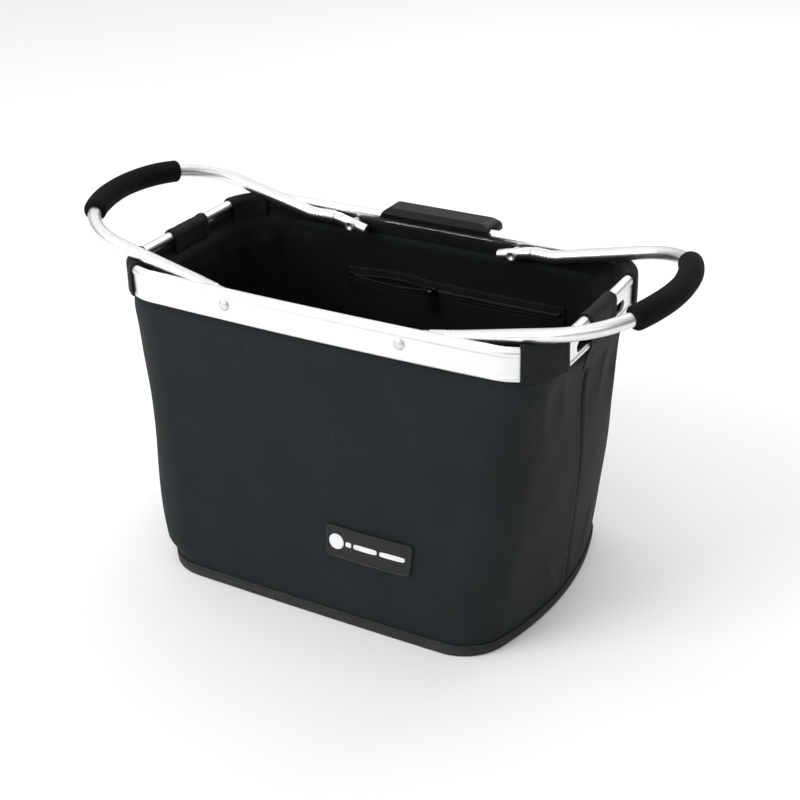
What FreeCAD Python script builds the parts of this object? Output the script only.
"""Folding handlebar basket: a fabric bag hung in an aluminium rim, with two carrying handles.

Every sub-part is an object of one document, and its sizes come from the "Sizes" spreadsheet.
The origin is the middle of the base, +X runs along the long side, +Y points at the
handlebar (the back of the basket) and +Z is up. Lengths are millimetres.
"""
import FreeCAD, Part
import math
import os

import Sketcher
from FreeCAD import Placement, Rotation, Vector

DIMENSIONS = {
    # rim: plan of its outer face, seen from above
    "rim_half_length": 180.0, "rim_half_depth": 98.0, "rim_corner_radius": 40.0,
    "rim_side_radius": 4000.0, "rim_end_radius": 4000.0,
    # rim: cross-section of the extrusion
    "rim_top": 248.0, "rim_height": 24.5, "bead_radius": 4.0, "toe_radius": 2.2,
    "web_inset": 0.8, "web_thickness": 2.0,
    # base: plan of the outside of the bound edge
    "base_half_length": 158.5, "base_half_depth": 112.0, "base_corner_radius": 39.0,
    "base_side_radius": 8000.0, "base_end_radius": 276.0,
    # mouth: plan of the lining's outer face at its top
    "mouth_half_length": 168.5, "mouth_half_depth": 92.8, "mouth_corner_radius": 46.0,
    "mouth_side_radius": 4000.0, "mouth_end_radius": 4000.0,
    # fabric and base
    "panel_top": 221.5, "panel_thickness": 1.6, "panel_top_inset": 2.5, "seam_gap": 0.2,
    "lining_top": 230.0, "lining_thickness": 1.0, "lining_foot_inset": 3.8,
    "binding_height": 9.0, "binding_thickness": 1.3, "sheet_gap": 0.1,
    "floor_sheet": 1.4, "board_thickness": 3.0, "board_inset": 8.0,
    # handles
    "pivot_offset": 72.0, "pivot_height": 236.0, "handle_tilt": 13.0, "handle_reach": 166.0,
    "handle_half_width": 79.0, "handle_corner_radius": 55.0, "handle_end_radius": 120.0,
    "tube_radius": 5.0, "tube_bore": 4.0, "tube_start": 10.0, "tube_drop": 2.7,
    "eye_half_width": 83.6, "crank_start": 18.0, "crank_end": 34.0, "crank_bend": 16.0,
    "grip_radius": 9.0, "grip_half_width": 54.0, "grip_gap": 0.05,
    "leg_end_radius": 4.5, "leg_end_tail": 13.0, "plug_end": 17.0, "plug_gap": 0.05,
    # pivots
    "rivet_radius": 2.0, "rivet_head_radius": 4.4, "rivet_head_height": 1.8,
    "rivet_dimple": 1.2, "running_gap": 0.05, "spacer_radius": 3.8, "face_gap": 0.12,
    # web slots and fabric loops
    "slot_half_length": 42.0, "slot_height": 8.0, "slot_middle": 232.5, "slot_bevel": 2.4,
    "loop_thickness": 1.0, "loop_gap": 0.25, "loop_bevel": 2.2, "loop_bevel_inside": 1.5,
    "corner_loop_angle": 56.0, "corner_loop_start": 30.0,
    "mid_loop_width": 44.0, "mid_loop_foot": 230.6,
    # handlebar adapter
    "adapter_half_width": 48.5, "adapter_foot": 171.0, "adapter_top": 252.6,
    "adapter_relief": 1.2, "channel_root": 0.5,
    "adapter_back": 3.7, "adapter_corner": 9.0, "adapter_cap_depth": 13.5,
    "channel_half_width": 32.0, "channel_depth": 9.0, "channel_wall": 4.0,
    "channel_lip": 3.0, "channel_lip_reach": 6.0, "cap_height": 9.6, "cap_gap": 0.3,
    "cap_lip": 2.8, "cap_lip_foot": 244.4, "cap_bevel": 4.2,
    "stud_spacing": 28.0, "stud_radius": 2.0, "stud_head_radius": 3.8, "stud_head": 1.6,
    "stud_tail": 1.2, "stud_tail_radius": 3.4, "stud_tip_radius": 2.7, "stud_height": 234.0,
    "sink_gap": 0.1,
    "joint_plate_length": 96.0, "joint_plate_height": 7.4, "joint_plate_thickness": 1.5,
    "rim_joint_gap": 0.6, "cut_margin": 1.0, "cut_past": 10.0,
    # inner pocket and its zip
    "pocket_left": -84.0, "pocket_right": 112.0, "pocket_foot": 96.0, "pocket_top": 180.2,
    "pocket_face": 92.4, "pocket_sheet": 0.8, "zip_height": 188.0, "zip_half_tape": 7.5,
    "zip_tape_gap": 1.6, "zip_tape_thickness": 0.5, "zip_face": 91.7, "zip_margin": 6.0,
    "coil_height": 1.4, "coil_thickness": 0.9, "stop_length": 3.0,
    "slider_length": 9.0, "slider_height": 7.0, "wing_thickness": 1.3, "slider_gap": 0.25,
    "slider_post": 1.0, "slider_post_length": 3.0, "slider_at": -4.0,
    "pull_length": 19.0, "pull_width": 5.0, "pull_thickness": 1.2, "pull_eye_radius": 1.9,
    "pull_eye_width": 2.6, "pull_pin": 0.8, "pull_stand_off": 2.1, "ear_thickness": 0.9,
    "ear_gap": 0.2, "ear_root": 0.3, "pull_corner": 1.5, "pull_neck": 3.6,
    "pull_shoulder": 6.0, "weld": 0.2,
    # badge on the front panel
    "badge_width": 72.0, "badge_height": 26.0, "badge_thickness": 1.8, "badge_border": 1.4,
    "badge_relief": 0.7, "badge_at": 48.0, "badge_middle": 69.0, "badge_corner": 2.0,
}

# a rivet's rolled head: share of its radius and of its height, from the rim to the crown
RIVET_DOME = ((1.0, 0.0), (0.93, 0.45), (0.68, 0.83), (0.0, 1.0))
RIVET_LIP = ((0.75, 1.0), (1.0, 0.5), (1.0, 0.0))
STUD_COUNT = 4


class Size:
    """A length together with the spreadsheet formula that it is worked out with."""

    def __init__(self, formula, value):
        self.formula = formula
        self.value = value

    def joined(self, sign, other, value):
        return Size(f"({self.formula} {sign} {as_size(other).formula})", value)

    def __add__(self, other):
        return self.joined("+", other, self.value + as_size(other).value)

    def __sub__(self, other):
        return self.joined("-", other, self.value - as_size(other).value)

    def __mul__(self, other):
        return self.joined("*", other, self.value * as_size(other).value)

    def __truediv__(self, other):
        return self.joined("/", other, self.value / as_size(other).value)

    def __neg__(self):
        return Size(f"(0 - {self.formula})", -self.value)


def as_size(number):
    """Take a plain number as it is, and a Size as itself."""
    return number if isinstance(number, Size) else Size(repr(float(number)), float(number))


def size(name):
    """One cell of the spreadsheet."""
    return Size(f"Sizes.{name}", DIMENSIONS[name])


# ---------------------------------------------------------------- document

def make_sheet(doc):
    """Write the driving dimensions into the spreadsheet, one named cell each."""
    sheet = doc.addObject("Spreadsheet::Sheet", "Sizes")
    for row, (name, value) in enumerate(DIMENSIONS.items(), start=1):
        sheet.set(f"A{row}", name.replace("_", " "))
        sheet.set(f"B{row}", str(value))
        sheet.setAlias(f"B{row}", name)
    doc.recompute()


def bind(thing, target, length):
    """Tie a property or a sketch dimension to the spreadsheet."""
    thing.setExpression(target, as_size(length).formula)


def new_body(doc, label):
    body = doc.addObject("PartDesign::Body", label)
    body.Label = label
    return body


def sketch_on(body, name, plane, height=None):
    """A sketch on one of the body's own origin planes, raised along that plane's normal."""
    sketch = body.newObject("Sketcher::SketchObject", name)
    origin = [f for f in body.Origin.OriginFeatures if f.Role == plane][0]
    sketch.AttachmentSupport = [(origin, "")]
    sketch.MapMode = "FlatFace"
    if height is not None:
        bind(sketch, "AttachmentOffset.Base.z", height)
    return sketch


def dimension(sketch, name, kind, where, length):
    """Add one named dimension to a sketch and tie it to the spreadsheet."""
    index = sketch.addConstraint(Sketcher.Constraint(kind, *where, as_size(length).value))
    sketch.renameConstraint(index, name)
    bind(sketch, f"Constraints.{name}", length)


def raise_feature(body, kind, name, profile):
    feature = body.newObject(f"PartDesign::{kind}", name)
    feature.Profile = profile
    body.Tip = feature
    return feature


def pad(body, name, profile, length, symmetric=False, reverse=False):
    feature = raise_feature(body, "Pad", name, profile)
    feature.SideType = "Symmetric" if symmetric else "One side"
    feature.Reversed = reverse
    bind(feature, "Length", length)
    return feature


def pocket(body, name, profile, length, symmetric=False, reverse=False):
    """Cut a sketch out of the body, and make sure that something was cut."""
    body.Document.recompute()
    before = body.Shape.Volume
    feature = raise_feature(body, "Pocket", name, profile)
    feature.SideType = "Symmetric" if symmetric else "One side"
    feature.Reversed = reverse
    bind(feature, "Length", length)
    body.Document.recompute()
    if body.Shape.Volume > before - 1e-3:
        raise RuntimeError(f"{body.Label}: {name} cuts nothing")
    return feature


def loft(body, name, lower, upper, cut=False):
    kind = "SubtractiveLoft" if cut else "AdditiveLoft"
    feature = raise_feature(body, kind, name, lower)
    feature.Sections = [upper]
    feature.Ruled = True
    return feature


# ---------------------------------------------------------------- sketches

def arc_about(centre, radius, start, end):
    """An anticlockwise arc between two points on a circle."""
    circle = Part.Circle(centre, Vector(0, 0, 1), radius)
    angle = [math.atan2(p.y - centre.y, p.x - centre.x) for p in (start, end)]
    return Part.ArcOfCircle(circle, angle[0], angle[1])


def corner_centre(half_length, half_depth, corner, side, end):
    """Centre of the corner arc that touches the long side's arc and the end's arc."""
    end_centre = half_length - end
    side_centre = half_depth - side
    to_end = end - corner
    to_side = side - corner
    apart = math.hypot(end_centre, side_centre)
    along = (to_end**2 - to_side**2 + apart**2) / (2 * apart)
    off = math.sqrt(to_end**2 - along**2)
    way = Vector(-end_centre, side_centre, 0) / apart
    across = Vector(-way.y, way.x, 0)
    ends = [Vector(end_centre, 0, 0) + way * along + across * off * s for s in (1, -1)]
    return max(ends, key=lambda point: point.x + point.y)


def plan_outline(body, name, plan, inset, height):
    """Closed outline of eight tangent arcs: four bowed sides joined by four round corners.

    plan is "rim", "base" or "mouth", and inset moves the whole outline inwards.
    """
    half_length, half_depth = size(f"{plan}_half_length"), size(f"{plan}_half_depth")
    corner = size(f"{plan}_corner_radius") - inset
    side = size(f"{plan}_side_radius") - inset
    end = size(f"{plan}_end_radius") - inset
    end_centre = half_length - size(f"{plan}_end_radius")
    side_centre = half_depth - size(f"{plan}_side_radius")
    sketch = sketch_on(body, name, "XY_Plane", height)

    near = corner_centre(half_length.value - as_size(inset).value,
                         half_depth.value - as_size(inset).value,
                         corner.value, side.value, end.value)
    arcs = []
    for turn in range(4):
        flip_x = 1 if turn in (0, 3) else -1
        flip_y = 1 if turn in (0, 1) else -1
        middle = Vector(near.x * flip_x, near.y * flip_y, 0)
        on_end = Vector(end_centre.value * flip_x, 0, 0)
        on_side = Vector(0, side_centre.value * flip_y, 0)
        touch_end = on_end + (middle - on_end).normalize() * end.value
        touch_side = on_side + (middle - on_side).normalize() * side.value
        arcs.append((middle, touch_end, touch_side))
    for turn, (middle, touch_end, touch_side) in enumerate(arcs):
        start, finish = (touch_end, touch_side) if turn % 2 == 0 else (touch_side, touch_end)
        sketch.addGeometry(arc_about(middle, corner.value, start, finish), False)
        after = arcs[(turn + 1) % 4]
        if turn % 2 == 0:
            centre, radius, goal = Vector(0, side_centre.value, 0), side.value, after[2]
        else:
            centre, radius, goal = Vector(end_centre.value, 0, 0), end.value, after[1]
        if turn in (1, 2):
            centre = centre * -1
        sketch.addGeometry(arc_about(centre, radius, finish, goal), False)

    for edge in range(8):
        sketch.addConstraint(Sketcher.Constraint("Tangent", edge, 2, (edge + 1) % 8, 1))
    for turn in range(4):
        dimension(sketch, f"corner_{turn}", "Radius", (2 * turn,), corner)
    signs = {1: 1, 3: -1, 5: -1, 7: 1}
    for edge, sign in signs.items():
        along_y = edge in (1, 5)
        centre = side_centre if along_y else end_centre
        dimension(sketch, f"bow_{edge}", "Radius", (edge,), side if along_y else end)
        placed = centre if sign > 0 else -centre
        dimension(sketch, f"centre_x_{edge}", "DistanceX", (-1, 1, edge, 3),
                  0 if along_y else placed)
        dimension(sketch, f"centre_y_{edge}", "DistanceY", (-1, 1, edge, 3),
                  placed if along_y else 0)
    return sketch


def polygon(sketch, name, points):
    """Closed polygon, every corner of it placed by the spreadsheet."""
    first = sketch.GeometryCount
    places = [(as_size(x), as_size(y)) for x, y in points]
    flat = [Vector(x.value, y.value, 0) for x, y in places]
    count = len(flat)
    for index, point in enumerate(flat):
        sketch.addGeometry(Part.LineSegment(point, flat[(index + 1) % count]), False)
    for index in range(count):
        after = first + (index + 1) % count
        sketch.addConstraint(Sketcher.Constraint("Coincident", first + index, 2, after, 1))
    for index, (x, y) in enumerate(places):
        where = (-1, 1, first + index, 1)
        dimension(sketch, f"{name}_x{index}", "DistanceX", where, x)
        dimension(sketch, f"{name}_y{index}", "DistanceY", where, y)


def rectangle(sketch, name, left, foot, right, top):
    polygon(sketch, name, [(left, foot), (right, foot), (right, top), (left, top)])


def bevelled(sketch, name, left, foot, right, top, bevel):
    """Rectangle with its four corners cut off."""
    polygon(sketch, name, [
        (left + bevel, foot), (right - bevel, foot), (right, foot + bevel),
        (right, top - bevel), (right - bevel, top), (left + bevel, top),
        (left, top - bevel), (left, foot + bevel)])


def circle(sketch, name, x, y, radius):
    x, y, radius = as_size(x), as_size(y), as_size(radius)
    round_hole = Part.Circle(Vector(x.value, y.value, 0), Vector(0, 0, 1), radius.value)
    index = sketch.addGeometry(round_hole, False)
    dimension(sketch, f"{name}_radius", "Radius", (index,), radius)
    dimension(sketch, f"{name}_x", "DistanceX", (-1, 1, index, 3), x)
    dimension(sketch, f"{name}_y", "DistanceY", (-1, 1, index, 3), y)


def turned(body, name, points):
    """Turn a profile of (radius, distance along Y) points once round the body's Y axis."""
    sketch = sketch_on(body, f"{name}_profile", "XY_Plane")
    polygon(sketch, name, points)
    feature = raise_feature(body, "Revolution", name, sketch)
    feature.ReferenceAxis = (sketch, ["V_Axis"])
    feature.Angle = 360
    return feature


# ---------------------------------------------------------------- places worked out from sizes

SIDES = {"left": -1, "right": 1}
FACES = {"front": -1, "back": 1}


def rim_depth(x):
    """Distance from the middle to the rim's outer face, at x along the bowed long side."""
    return size("rim_half_depth") - x * x / (size("rim_side_radius") * 2)


def web_inner(depth):
    return depth - size("web_inset") - size("web_thickness")


def half_turn(side):
    """Rotation that carries a piece from the back, or right, to the opposite side."""
    return Rotation(Vector(0, 0, 1), 0 if side > 0 else 180)


def place_on(thing, x, y, z, rotation=Rotation()):
    """Put a sub-part at a place that stays tied to the spreadsheet."""
    thing.Placement = Placement(Vector(x.value, y.value, z.value), rotation)
    for axis, length in zip("xyz", (x, y, z)):
        bind(thing, f"Placement.Base.{axis}", length)


def wall_slope():
    """Lean of the long walls, in degrees: they come inwards from the base to the rim."""
    drop = DIMENSIONS["base_half_depth"] - DIMENSIONS["binding_thickness"]
    drop -= DIMENSIONS["rim_half_depth"] - DIMENSIONS["panel_top_inset"]
    return math.degrees(math.atan2(drop, DIMENSIONS["panel_top"]))


# ---------------------------------------------------------------- rim

def rim_section(body):
    """Dog-bone section of the extrusion: round bead on top, thin web, small toe below."""
    sketch = sketch_on(body, "section", "XZ_Plane")
    outer = size("rim_half_length")
    bead, toe = size("bead_radius"), size("toe_radius")
    high, low = size("rim_top") - bead, size("rim_top") - size("rim_height") + toe
    out, back = outer - size("web_inset"), outer - size("web_inset") - size("web_thickness")

    def touch(x, centre_x, centre_z, radius, sign):
        rise = math.sqrt(radius.value**2 - (x.value - centre_x.value) ** 2)
        return Vector(x.value, centre_z.value + sign * rise, 0)

    bead_x, toe_x = outer - bead, outer - toe
    corners = [touch(out, bead_x, high, bead, -1), touch(back, bead_x, high, bead, -1),
               touch(back, toe_x, low, toe, 1), touch(out, toe_x, low, toe, 1)]
    sketch.addGeometry(arc_about(Vector(bead_x.value, high.value, 0), bead.value,
                                 corners[0], corners[1]), False)
    sketch.addGeometry(Part.LineSegment(corners[1], corners[2]), False)
    sketch.addGeometry(arc_about(Vector(toe_x.value, low.value, 0), toe.value,
                                 corners[2], corners[3]), False)
    sketch.addGeometry(Part.LineSegment(corners[3], corners[0]), False)
    for edge in range(4):
        sketch.addConstraint(Sketcher.Constraint("Coincident", edge, 2, (edge + 1) % 4, 1))
    for edge in (1, 3):
        sketch.addConstraint(Sketcher.Constraint("Vertical", edge))
    for edge, name, x, z, radius in ((0, "bead", bead_x, high, bead), (2, "toe", toe_x, low, toe)):
        dimension(sketch, f"{name}_radius", "Radius", (edge,), radius)
        dimension(sketch, f"{name}_x", "DistanceX", (-1, 1, edge, 3), x)
        dimension(sketch, f"{name}_z", "DistanceY", (-1, 1, edge, 3), z)
    dimension(sketch, "web_back", "DistanceX", (-1, 1, 1, 1), back)
    dimension(sketch, "web_out", "DistanceX", (-1, 1, 3, 1), out)
    return sketch


def stud_places():
    """The studs that fix the adapter, in a row along the back of the rim."""
    first = (STUD_COUNT - 1) / 2
    return [size("stud_spacing") * (step - first) for step in range(STUD_COUNT)]


def make_rim(doc):
    body = new_body(doc, "frame_rim")
    spine = plan_outline(body, "plan", "rim", 0, size("rim_top"))
    section = rim_section(body)
    sweep = raise_feature(body, "AdditivePipe", "extrusion", section)
    sweep.Spine = (spine, [])

    slots = sketch_on(body, "loop_slots", "YZ_Plane")
    half, rise = size("slot_half_length"), size("slot_height") / 2
    middle = size("slot_middle")
    bevelled(slots, "slot", -half, middle - rise, half, middle + rise, size("slot_bevel"))
    pocket(body, "slots", slots, (size("rim_half_length") + size("cut_past")) * 2,
           symmetric=True)

    holes = sketch_on(body, "pivot_holes", "XZ_Plane")
    for side, sign in SIDES.items():
        circle(holes, side, size("pivot_offset") * sign, size("pivot_height"),
               size("rivet_radius") + size("running_gap"))
    through = size("rim_half_depth") + size("cut_past")
    pocket(body, "pivots", holes, through * 2, symmetric=True)

    back = sketch_on(body, "stud_holes", "XZ_Plane")
    for index, x in enumerate(stud_places()):
        circle(back, f"stud_{index}", x, size("stud_height"),
               size("stud_radius") + size("running_gap"))
    half_gap, margin = size("rim_joint_gap") / 2, size("cut_margin")
    rectangle(back, "joint", -half_gap, size("rim_top") - size("rim_height") - margin,
              half_gap, size("rim_top") + margin)
    pocket(body, "studs_and_joint", back, through)
    return body


def make_joint_plate(doc):
    """Flat bar behind the web that closes the rim where its two ends meet."""
    body = new_body(doc, "rim_joint_plate")
    sketch = sketch_on(body, "outline", "XZ_Plane")
    half, rise = size("joint_plate_length") / 2, size("joint_plate_height") / 2
    rectangle(sketch, "bar", -half, size("stud_height") - rise, half,
              size("stud_height") + rise)
    for index, x in enumerate(stud_places()):
        circle(sketch, f"stud_{index}", x, size("stud_height"),
               size("stud_radius") + size("running_gap"))
    thickness = size("joint_plate_thickness")
    pad(body, "bar", sketch, thickness)
    face = web_inner(rim_depth(size("joint_plate_length") / 2)) - size("face_gap")
    place_on(body, as_size(0), face, as_size(0))
    return body


def make_adapter_studs(doc):
    """Sunk studs through the adapter, the rim and the joint plate."""
    body = new_body(doc, "adapter_rivets")
    seat = size("rim_half_depth") + size("cap_gap") + size("adapter_back")
    plate = web_inner(rim_depth(size("joint_plate_length") / 2)) - size("face_gap")
    tail = plate - size("joint_plate_thickness") - size("face_gap")
    head, shank, tip = size("stud_head_radius"), size("stud_radius"), tail - size("stud_tail")
    flush = seat - size("sink_gap")
    turned(body, "stud", [
        (0, tip), (size("stud_tip_radius"), tip), (size("stud_tail_radius"), tail),
        (shank, tail), (shank, seat - size("stud_head")), (head, seat - size("stud_head") / 2),
        (head, flush), (0, flush)])
    doc.recompute()
    row = raise_pattern(body, "row", size("stud_spacing") * (STUD_COUNT - 1), STUD_COUNT)
    place_on(body, stud_places()[0], as_size(0), size("stud_height"))
    return row


def raise_pattern(body, name, length, count):
    """Repeat the body's last feature along X."""
    original = body.Tip
    feature = body.newObject("PartDesign::LinearPattern", name)
    feature.Originals = [original]
    axis = [f for f in body.Origin.OriginFeatures if f.Role == "X_Axis"][0]
    feature.Direction = (axis, [""])
    feature.Occurrences = count
    bind(feature, "Length", length)
    body.Tip = feature
    return feature


def make_adapter(doc):
    """Black moulding on the back of the rim that slides down onto the handlebar bracket."""
    body = new_body(doc, "adapter_plate")
    face = size("rim_half_depth") + size("cap_gap")
    back = face + size("adapter_back")
    top, foot, bevel = size("adapter_top"), size("adapter_foot"), size("cap_bevel")
    under = top - size("cap_height")
    rear = face + size("adapter_cap_depth")
    lip_out = rim_depth(size("adapter_half_width")) - size("bead_radius") * 2 - size("cap_gap")
    lip_in = lip_out - size("cap_lip")
    lip_foot = size("cap_lip_foot")
    over = size("rim_top") + size("cap_gap")
    side = sketch_on(body, "side_view", "YZ_Plane")
    polygon(side, "hook", [
        (face + size("adapter_relief"), foot), (back, foot), (back, under),
        (rear, under), (rear, top - bevel),
        (rear - bevel, top), (lip_in + bevel, top), (lip_in, top - bevel),
        (lip_in, lip_foot), (lip_out, lip_foot), (lip_out, over), (face, over),
        (face, size("rim_top") - size("rim_height"))])
    pad(body, "hook", side, size("adapter_half_width") * 2, symmetric=True)

    plan = sketch_on(body, "channel_plan", "XY_Plane", foot)
    inner, wall = size("channel_half_width"), size("channel_wall")
    deep, root = back + size("channel_depth"), back - size("channel_root")
    shut = deep + size("channel_lip")
    tip = inner - size("channel_lip_reach")
    for name, sign in SIDES.items():
        polygon(plan, name, [
            (inner * sign, root), (inner * sign, deep), (tip * sign, deep),
            (tip * sign, shut), ((inner + wall) * sign, shut),
            ((inner + wall) * sign, root)])
    pad(body, "channel", plan, under - foot + size("channel_root"))

    sinks = sketch_on(body, "stud_sinks", "XZ_Plane", -back)
    holes = sketch_on(body, "stud_holes", "XZ_Plane")
    for index, x in enumerate(stud_places()):
        circle(sinks, f"sink_{index}", x, size("stud_height"),
               size("stud_head_radius") + size("sink_gap"))
        circle(holes, f"hole_{index}", x, size("stud_height"),
               size("stud_radius") + size("running_gap"))
    pocket(body, "sinks", sinks, size("stud_head") + size("sink_gap"), reverse=True)
    pocket(body, "holes", holes, back + size("cut_margin"))

    ends = sketch_on(body, "round_ends", "XZ_Plane")
    for name, sign in SIDES.items():
        outside_of_arc(ends, name, size("adapter_half_width"), top, size("adapter_corner"), sign)
    pocket(body, "ends", ends, shut * 2, symmetric=True)
    return body


def outside_of_arc(sketch, name, half_width, top, radius, sign):
    """The waste outside a rounded upper corner: a square notch bounded by the corner's arc."""
    first = sketch.GeometryCount
    x_arc, z_arc = (half_width - radius) * sign, top - radius
    x_out, z_out = (half_width + size("cut_margin")) * sign, top + size("cut_margin")
    places = [(x_arc, top), (x_arc, z_out), (x_out, z_out), (x_out, z_arc),
              (half_width * sign, z_arc)]
    flat = [Vector(x.value, z.value, 0) for x, z in places]
    for start, finish in zip(flat, flat[1:]):
        sketch.addGeometry(Part.LineSegment(start, finish), False)
    centre = Vector(x_arc.value, z_arc.value, 0)
    start, finish = (flat[-1], flat[0]) if sign > 0 else (flat[0], flat[-1])
    sketch.addGeometry(arc_about(centre, radius.value, start, finish), False)
    for index in range(3):
        joint = (first + index, 2, first + index + 1, 1)
        sketch.addConstraint(Sketcher.Constraint("Coincident", *joint))
    arc = first + 4
    for edge, end, arc_end in ((3, 2, 1), (0, 1, 2)):
        arc_side = arc_end if sign > 0 else 3 - arc_end
        joint = (first + edge, end, arc, arc_side)
        sketch.addConstraint(Sketcher.Constraint("Coincident", *joint))
    for index, (x, z) in enumerate(places[:4]):
        where = (-1, 1, first + index, 1)
        dimension(sketch, f"{name}_x{index}", "DistanceX", where, x)
        dimension(sketch, f"{name}_z{index}", "DistanceY", where, z)
    dimension(sketch, f"{name}_arc_x", "DistanceX", (-1, 1, arc, 3), x_arc)
    dimension(sketch, f"{name}_arc_z", "DistanceY", (-1, 1, arc, 3), z_arc)
    sketch.addConstraint(Sketcher.Constraint("Horizontal", first + 3))


# ---------------------------------------------------------------- pivots

def make_pivots(doc):
    """One rivet and one spacer for each handle leg; the leg's eye turns on the rivet."""
    depth = rim_depth(size("pivot_offset"))
    shank, head = size("rivet_radius"), size("rivet_head_radius")
    inside = size("eye_half_width") - size("leg_end_radius") - size("face_gap")
    outside = depth - size("web_inset") + size("face_gap")
    tall, dimple = size("rivet_head_height"), size("rivet_dimple")
    eye_face = size("eye_half_width") + size("leg_end_radius") + size("face_gap")
    for face, way in FACES.items():
        for side, sign in SIDES.items():
            rivet = new_body(doc, f"pivot_rivet_{face}_{side}")
            lip = [(head * wide, inside - tall * high) for wide, high in RIVET_LIP]
            dome = [(head * wide, outside + tall * high) for wide, high in RIVET_DOME]
            turned(rivet, "rivet", [
                (0, inside - tall + dimple), (dimple, inside - tall + dimple),
                (dimple, inside - tall), *lip, (shank, inside), (shank, outside), *dome])
            spacer = new_body(doc, f"pivot_spacer_{face}_{side}")
            bore = shank + size("running_gap")
            turned(spacer, "spacer", [
                (bore, eye_face), (size("spacer_radius"), eye_face),
                (size("spacer_radius"), web_inner(depth) - size("face_gap")),
                (bore, web_inner(depth) - size("face_gap"))])
            for body in (rivet, spacer):
                place_on(body, size("pivot_offset") * sign, as_size(0), size("pivot_height"),
                         half_turn(way))


# ---------------------------------------------------------------- handles

def bend(before, corner, after, radius):
    """Tangent arc that rounds the corner between two straight runs."""
    back = (before - corner).normalize()
    on = (after - corner).normalize()
    half = math.acos(-back.dot(on)) / 2
    reach = radius * math.tan(half)
    inward = (back + on).normalize()
    middle = corner + inward * (radius / math.cos(half) - radius)
    return corner + back * reach, middle, corner + on * reach


def arc_point(centre, radius, angle, height):
    return Vector(centre.x + radius * math.cos(angle), centre.y + radius * math.sin(angle),
                  height)


def handle_arcs(limit):
    """The handle's bow from -limit to +limit across: corner arc, end arc, corner arc.

    The arcs lie in the handle's own plane, u outwards from the pivots and y across.
    """
    corner, end = DIMENSIONS["handle_corner_radius"], DIMENSIONS["handle_end_radius"]
    low = -DIMENSIONS["tube_drop"]
    across = DIMENSIONS["handle_half_width"] - corner
    end_centre = Vector(DIMENSIONS["handle_reach"] - end, 0, 0)
    along = math.sqrt((end - corner) ** 2 - across**2)
    turn_in = math.atan2(across, along)
    open_to = math.asin(min(1.0, (limit - across) / corner))
    edges = []
    for sign in (-1, 1):
        centre = end_centre + Vector(along, sign * across, 0)
        angles = [sign * angle for angle in (open_to, (open_to + turn_in) / 2, turn_in)]
        edges.append([arc_point(centre, corner, angle, low) for angle in angles])
    middle = [arc_point(end_centre, end, angle, low) for angle in (-turn_in, 0, turn_in)]
    return [edges[0], middle, edges[1][::-1]]


def handle_leg(sign):
    """Straight runs and small bends of one leg, from the eye to where the bow begins."""
    wide, narrow = DIMENSIONS["eye_half_width"], DIMENSIONS["handle_half_width"]
    start = Vector(DIMENSIONS["tube_start"], sign * wide, 0)
    crank_in = Vector(DIMENSIONS["crank_start"], sign * wide, 0)
    crank_out = Vector(DIMENSIONS["crank_end"], sign * narrow, -DIMENSIONS["tube_drop"])
    bow = handle_arcs(narrow)[0][0]
    finish = Vector(bow.x, sign * narrow, bow.z)
    first = bend(start, crank_in, crank_out, DIMENSIONS["crank_bend"])
    second = bend(crank_in, crank_out, finish, DIMENSIONS["crank_bend"])
    return [(start, first[0]), first, (first[2], second[0]), second, (second[2], finish)]


def as_edges(stretches):
    edges = []
    for points in stretches:
        kind = Part.LineSegment if len(points) == 2 else Part.Arc
        edges.append(kind(*points).toShape())
    return edges


def swept(edges, radius):
    """Round bar of one radius along a wire of lines and arcs."""
    wire = Part.Wire(Part.__sortEdges__(edges))
    start = wire.OrderedVertexes[0].Point
    first = wire.OrderedEdges[0]
    near = first.valueAt(first.FirstParameter)
    at_start = (near - start).Length < 1e-6
    along = first.tangentAt(first.FirstParameter if at_start else first.LastParameter)
    ring = Part.Wire(Part.makeCircle(radius, start, along))
    return wire.makePipeShell([ring], True, True)


def place_handle(thing, sign):
    """Tilt a handle piece out over the end rail and move it to its pivots."""
    tilt = Rotation(Vector(0, 1, 0), -DIMENSIONS["handle_tilt"])
    pivot = Vector(sign * DIMENSIONS["pivot_offset"], 0, DIMENSIONS["pivot_height"])
    thing.Placement = Placement(pivot, half_turn(sign).multiply(tilt))


def make_feature(doc, label, shape):
    """Sub-part whose bent shape is made directly from the spreadsheet's sizes."""
    feature = doc.addObject("Part::Feature", label)
    feature.Label = label
    feature.Shape = shape
    return feature


def make_handles(doc):
    narrow = DIMENSIONS["handle_half_width"]
    leg_edges = as_edges(handle_leg(-1)) + as_edges(handle_leg(1))
    path = leg_edges + as_edges(handle_arcs(narrow))
    outer, bore = swept(path, DIMENSIONS["tube_radius"]), swept(path, DIMENSIONS["tube_bore"])
    tube = outer.cut(bore)
    grip_path = as_edges(handle_arcs(DIMENSIONS["grip_half_width"]))
    sleeve = DIMENSIONS["tube_radius"] + DIMENSIONS["grip_gap"]
    grip = swept(grip_path, DIMENSIONS["grip_radius"]).cut(swept(grip_path, sleeve))
    for side, sign in SIDES.items():
        place_handle(make_feature(doc, f"handle_tube_{side}", tube), sign)
        place_handle(make_feature(doc, f"grip_{side}", grip), sign)
        for face, way in FACES.items():
            make_leg_end(doc, face, side, way * sign, sign)


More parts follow.
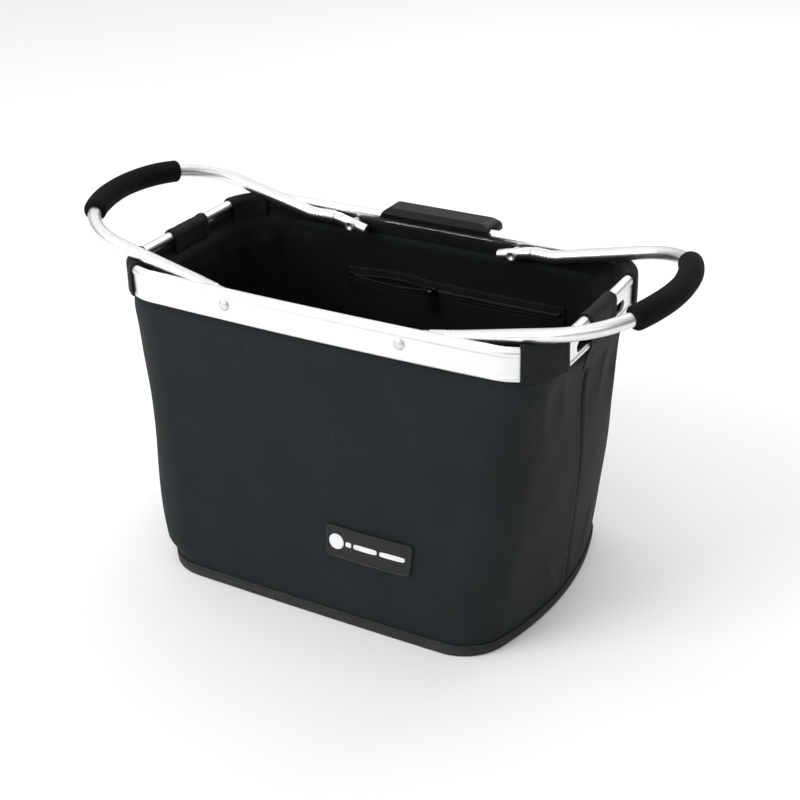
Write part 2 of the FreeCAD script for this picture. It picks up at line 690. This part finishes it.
def make_leg_end(doc, face, side, way, sign):
    """Solid end of one leg: square-cut eye on the rivet, with a plug inside the tube."""
    body = new_body(doc, f"leg_end_{face}_{side}")
    across = size("eye_half_width") * way
    eye = sketch_on(body, "eye_section", "YZ_Plane", -size("leg_end_tail"))
    circle(eye, "eye", across, 0, size("leg_end_radius"))
    pad(body, "eye", eye, size("leg_end_tail") + size("tube_start") - size("plug_gap"))
    plug = sketch_on(body, "plug_section", "YZ_Plane")
    circle(plug, "plug", across, 0, size("tube_bore") - size("plug_gap"))
    pad(body, "plug", plug, size("plug_end"))
    hole = sketch_on(body, "rivet_hole", "XZ_Plane")
    circle(hole, "rivet", 0, 0, size("rivet_radius") + size("running_gap"))
    pocket(body, "hole", hole, size("rim_half_depth") * 2, symmetric=True)
    place_handle(body, sign)


# ---------------------------------------------------------------- fabric loops

def hooped(sketch, name, middle, foot, radius, bevel):
    """Outline that goes round the bead in a half circle and ends in a bevelled foot."""
    first = sketch.GeometryCount
    spring = size("rim_top") - size("bead_radius")
    left, right = middle - radius, middle + radius
    places = [(right, spring), (right, foot + bevel), (right - bevel, foot),
              (left + bevel, foot), (left, foot + bevel), (left, spring)]
    flat = [Vector(x.value, z.value, 0) for x, z in places]
    for start, finish in zip(flat, flat[1:]):
        sketch.addGeometry(Part.LineSegment(start, finish), False)
    crown = Vector(middle.value, spring.value + radius.value, 0)
    arc = sketch.addGeometry(Part.Arc(flat[-1], crown, flat[0]), False)
    for index in range(4):
        joint = (first + index, 2, first + index + 1, 1)
        sketch.addConstraint(Sketcher.Constraint("Coincident", *joint))
    sketch.addConstraint(Sketcher.Constraint("Coincident", arc, 2, first + 4, 2))
    sketch.addConstraint(Sketcher.Constraint("Coincident", arc, 1, first, 1))
    for index, (x, z) in enumerate(places[:5]):
        where = (-1, 1, first + index, 1)
        dimension(sketch, f"{name}_x{index}", "DistanceX", where, x)
        dimension(sketch, f"{name}_z{index}", "DistanceY", where, z)
    dimension(sketch, f"{name}_hoop_x", "DistanceX", (-1, 1, arc, 3), middle)
    dimension(sketch, f"{name}_hoop_z", "DistanceY", (-1, 1, arc, 3), spring)


def loop_section(sketch, face, foot):
    """Section of the strap: a ring round the rail, whose outer face is at the given place."""
    thick = size("loop_thickness")
    middle = face - size("bead_radius")
    inside = size("bead_radius") + size("loop_gap")
    hooped(sketch, "outside", middle, foot - thick, inside + thick, size("loop_bevel"))
    hooped(sketch, "inside", middle, foot, inside, size("loop_bevel_inside"))


def make_corner_loops(doc):
    """Wide straps that hang the bag from the four corners of the rim."""
    centre = corner_centre(*[DIMENSIONS[f"rim_{name}"] for name in (
        "half_length", "half_depth", "corner_radius", "side_radius", "end_radius")])
    start, sweep = DIMENSIONS["corner_loop_start"], DIMENSIONS["corner_loop_angle"]
    toward_end = 90 - start - sweep / 2
    for face, way in FACES.items():
        for side, sign in SIDES.items():
            body = new_body(doc, f"corner_loop_{face}_{side}")
            sketch = sketch_on(body, "strap_section", "XZ_Plane")
            foot = size("rim_top") - size("rim_height") - size("loop_gap")
            loop_section(sketch, size("rim_corner_radius"), foot)
            strap = raise_feature(body, "Revolution", "strap", sketch)
            strap.ReferenceAxis = (sketch, ["V_Axis"])
            strap.Midplane = True
            bind(strap, "Angle", size("corner_loop_angle"))
            heading = math.degrees(math.atan2(way * math.sin(math.radians(toward_end)),
                                              sign * math.cos(math.radians(toward_end))))
            body.Placement = Placement(Vector(sign * centre.x, way * centre.y, 0),
                                       Rotation(Vector(0, 0, 1), heading))


def make_mid_loops(doc):
    """Straps through the web slots, round the bead in the middle of each end rail."""
    for side, sign in SIDES.items():
        body = new_body(doc, f"mid_loop_{side}")
        sketch = sketch_on(body, "strap_section", "XZ_Plane")
        loop_section(sketch, size("rim_half_length"), size("mid_loop_foot"))
        pad(body, "strap", sketch, size("mid_loop_width"), symmetric=True)
        body.Placement = Placement(Vector(), half_turn(sign))


# ---------------------------------------------------------------- bag

def wall_loft(body, name, foot_inset, top_inset, cut=False):
    """Sloping wall surface between the base plan and the rim plan."""
    lower = plan_outline(body, f"{name}_foot", "base", foot_inset, as_size(0))
    upper = plan_outline(body, f"{name}_top", "rim", top_inset, size("panel_top"))
    return loft(body, name, lower, upper, cut)


def make_panels(doc):
    """Outer fabric: a front and a back panel, each wrapping half of both ends."""
    foot = size("binding_thickness") + size("sheet_gap")
    for face, way in FACES.items():
        body = new_body(doc, f"{face}_panel")
        wall_loft(body, "outside", foot, size("panel_top_inset"))
        wall_loft(body, "inside", foot + size("panel_thickness"),
                  size("panel_top_inset") + size("panel_thickness"), cut=True)
        half = sketch_on(body, "other_half", "XY_Plane")
        wide, deep = size("rim_half_length") * 2, size("base_half_depth") * 2
        seam = size("seam_gap") / 2 * way
        rectangle(half, "half", -wide, seam, wide, -deep * way)
        pocket(body, "seam", half, size("rim_top"), reverse=True)


def make_lining(doc):
    """Inner bag: one tub of thin cloth, floor and walls together."""
    body = new_body(doc, "lining")
    foot = size("floor_sheet") + size("board_thickness") + size("sheet_gap") * 2
    thick = size("lining_thickness")
    inset = size("lining_foot_inset")
    loft(body, "outside", plan_outline(body, "outside_foot", "base", inset, foot),
         plan_outline(body, "outside_top", "mouth", 0, size("lining_top")))
    loft(body, "inside", plan_outline(body, "inside_foot", "base", inset + thick, foot + thick),
         plan_outline(body, "inside_top", "mouth", thick, size("lining_top")), cut=True)


def make_base(doc):
    """Bottom cloth, the stiff board that lies on it, and the tape bound round the edge."""
    inside = size("binding_thickness") + size("panel_thickness") + size("sheet_gap") * 2
    cloth = new_body(doc, "base_panel")
    pad(cloth, "cloth", plan_outline(cloth, "plan", "base", inside, as_size(0)),
        size("floor_sheet"))
    board = new_body(doc, "base_board")
    pad(board, "board", plan_outline(board, "plan", "base", size("board_inset"),
                                     size("floor_sheet") + size("sheet_gap")),
        size("board_thickness"))
    binding = new_body(doc, "base_binding")
    thick = size("binding_thickness")
    wall_loft(binding, "outside", 0, size("panel_top_inset") - thick - size("sheet_gap"))
    wall_loft(binding, "inside", thick, size("panel_top_inset") - size("sheet_gap"), cut=True)
    above = sketch_on(binding, "above", "XY_Plane", size("binding_height"))
    wide, deep = size("rim_half_length") * 2, size("base_half_depth") * 2
    rectangle(above, "above", -wide, -deep, wide, deep)
    pocket(binding, "trim", above, size("rim_top"), reverse=True)


def make_badge(doc):
    """Moulded rubber badge with a raised border, sewn low on the front panel."""
    body = new_body(doc, "badge")
    half, rise = size("badge_width") / 2, size("badge_height") / 2
    border, corner = size("badge_border"), size("badge_corner")
    plate = sketch_on(body, "plate_outline", "XZ_Plane")
    bevelled(plate, "plate", -half, -rise, half, rise, corner / 2)
    pad(body, "plate", plate, size("badge_thickness"))
    field = sketch_on(body, "field_outline", "XZ_Plane", size("badge_thickness"))
    bevelled(field, "field", border - half, border - rise, half - border, rise - border,
             corner / 3)
    pocket(body, "field", field, size("badge_relief"))
    lean = math.radians(wall_slope())
    wall = DIMENSIONS["base_half_depth"] - DIMENSIONS["binding_thickness"]
    wall -= DIMENSIONS["badge_middle"] * math.tan(lean)
    body.Placement = Placement(
        Vector(DIMENSIONS["badge_at"], -wall - DIMENSIONS["sheet_gap"],
               DIMENSIONS["badge_middle"]),
        Rotation(Vector(1, 0, 0), -wall_slope()))


# ---------------------------------------------------------------- pocket and zip

def box(doc, label, extent):
    """Plain box with its three sides tied to the spreadsheet."""
    piece = doc.addObject("Part::Box", label)
    piece.Label = label
    for name, length in zip(("Length", "Width", "Height"), extent):
        bind(piece, name, length)
    return piece


def make_pocket(doc):
    """Pocket cloth on the back wall, and the two tapes, coils and stops of its zip."""
    left, right = size("pocket_left"), size("pocket_right")
    wide, face, height = right - left, size("zip_face"), size("zip_height")
    half_gap = size("zip_tape_gap") / 2
    drop = size("pocket_top") - size("pocket_foot")
    cloth = box(doc, "pocket_panel", (wide, size("pocket_sheet"), drop))
    lean = Rotation(Vector(1, 0, 0), wall_slope())
    hang = lean.multVec(Vector(0, 0, -drop.value))
    upper = Vector(left.value, size("pocket_face").value, size("pocket_top").value)
    cloth.Placement = Placement(upper + hang, lean)
    tape, thin = size("zip_half_tape") - half_gap, size("zip_tape_thickness")
    coil, proud = size("coil_height"), size("coil_thickness")
    first, run = left + size("zip_margin"), wide - size("zip_margin") * 2
    for name, low, coil_low in (
            ("upper", height + half_gap, height + half_gap),
            ("lower", height - half_gap - tape, height - half_gap - coil)):
        place_on(box(doc, f"zip_tape_{name}", (wide, thin, tape)), left, face, low)
        place_on(box(doc, f"zip_coil_{name}", (run, proud, coil)), first, face - proud, coil_low)
    stop, reach = size("stop_length"), half_gap + coil
    for name, x in (("left", first - stop), ("right", first + run)):
        place_on(box(doc, f"zip_stop_{name}", (stop, proud, reach * 2)),
                 x, face - proud, height - reach)


def make_slider(doc):
    """Zip slider: two wings joined by a post, with ears and a pin for its pull tab."""
    body = new_body(doc, "zip_slider")
    half, rise = size("slider_length") / 2, size("slider_height") / 2
    gap, wing = size("slider_gap"), size("wing_thickness")
    face = size("zip_face")
    front = face - size("coil_thickness") - gap
    rear = face + size("zip_tape_thickness") + gap
    for name, start in (("front_wing", front - wing), ("rear_wing", rear)):
        outline = sketch_on(body, f"{name}_outline", "XZ_Plane", -start)
        bevelled(outline, name, -half, -rise, half, rise, size("wing_thickness"))
        pad(body, name, outline, wing, reverse=True)
        if name == "front_wing":
            post = sketch_on(body, "post_outline", "XZ_Plane", -(front - size("weld")))
            span, tall = size("slider_post_length") / 2, size("slider_post") / 2
            rectangle(post, "post", -span, -tall, span, tall)
            pad(body, "post", post, rear - front + size("weld") * 2, reverse=True)
    pin_y = front - wing - size("pull_stand_off")
    ear_in = size("pull_eye_width") / 2 + size("ear_gap")
    ear, root = size("ear_thickness"), front - wing + size("ear_root")
    side = sketch_on(body, "ear_outline", "YZ_Plane")
    tip, foot = size("pull_pin") * 2, size("pull_pin") * 3
    polygon(side, "ear", [(pin_y - tip, -tip), (root, -foot), (root, foot),
                          (pin_y - tip, tip)])
    pad(body, "ears", side, (ear_in + ear) * 2, symmetric=True)
    space = sketch_on(body, "pull_space", "YZ_Plane")
    rectangle(space, "space", pin_y - tip - size("cut_margin"), -rise, front - wing, rise)
    pocket(body, "space", space, ear_in * 2, symmetric=True)
    pin = sketch_on(body, "pin_section", "YZ_Plane")
    circle(pin, "pin", pin_y, 0, size("pull_pin"))
    pad(body, "pin", pin, (ear_in + ear / 2) * 2, symmetric=True)
    place_on(body, size("slider_at"), as_size(0), size("zip_height"))

    pull = new_body(doc, "zip_pull")
    eye = sketch_on(pull, "eye_section", "YZ_Plane")
    circle(eye, "eye", 0, 0, size("pull_eye_radius"))
    pad(pull, "eye", eye, size("pull_eye_width"), symmetric=True)
    tab = sketch_on(pull, "tab_outline", "XZ_Plane")
    wide, slim, corner = size("pull_width") / 2, size("pull_eye_width") / 2, size("pull_corner")
    neck, shoulder, tip = -size("pull_neck"), -size("pull_shoulder"), -size("pull_length")
    polygon(tab, "tab", [
        (-slim, 0), (-slim, neck), (-wide, shoulder), (-wide, tip + corner),
        (corner - wide.value, tip), (wide - corner, tip), (wide, tip + corner),
        (wide, shoulder), (slim, neck), (slim, 0)])
    pad(pull, "tab", tab, size("pull_thickness"), symmetric=True)
    bore = sketch_on(pull, "bore_section", "YZ_Plane")
    circle(bore, "bore", 0, 0, size("pull_pin") + size("running_gap"))
    pocket(pull, "bore", bore, size("pull_width") * 2, symmetric=True)
    place_on(pull, size("slider_at"), pin_y, size("zip_height"))


# ---------------------------------------------------------------- build and export

MAKERS = (make_rim, make_joint_plate, make_adapter_studs, make_adapter, make_pivots,
          make_handles, make_corner_loops, make_mid_loops, make_panels, make_lining,
          make_base, make_badge, make_pocket, make_slider)


def sub_parts(doc):
    """The named pieces: bodies, boxes and bent shapes, but not the features inside a body."""
    kinds = ("PartDesign::Body", "Part::Box", "Part::Feature")
    return [thing for thing in doc.Objects if thing.TypeId in kinds]


def check(doc):
    """Stop if any object failed or any sub-part has no valid shape."""
    for thing in doc.Objects:
        if {"Invalid", "Error"} & set(thing.State):
            raise RuntimeError(f"{thing.Label}: {thing.State}")
    for thing in sub_parts(doc):
        if thing.Shape.isNull() or not thing.Shape.isValid():
            raise RuntimeError(f"{thing.Label} has no valid shape")


def main():
    doc = FreeCAD.newDocument("handlebar_basket")
    make_sheet(doc)
    for maker in MAKERS:
        maker(doc)
    doc.recompute()
    check(doc)
    os.makedirs("parts", exist_ok=True)
    for thing in sub_parts(doc):
        thing.Shape.exportStep(f"parts/{thing.Label}.step")
        box_of = thing.Shape.optimalBoundingBox()
        print(f"{thing.Label:26s} {len(thing.Shape.Solids)} solid {thing.Shape.Volume:10.1f} mm3"
              f"  x {box_of.XMin:7.1f} {box_of.XMax:7.1f}  y {box_of.YMin:7.1f}"
              f" {box_of.YMax:7.1f}  z {box_of.ZMin:6.1f} {box_of.ZMax:6.1f}")


main()
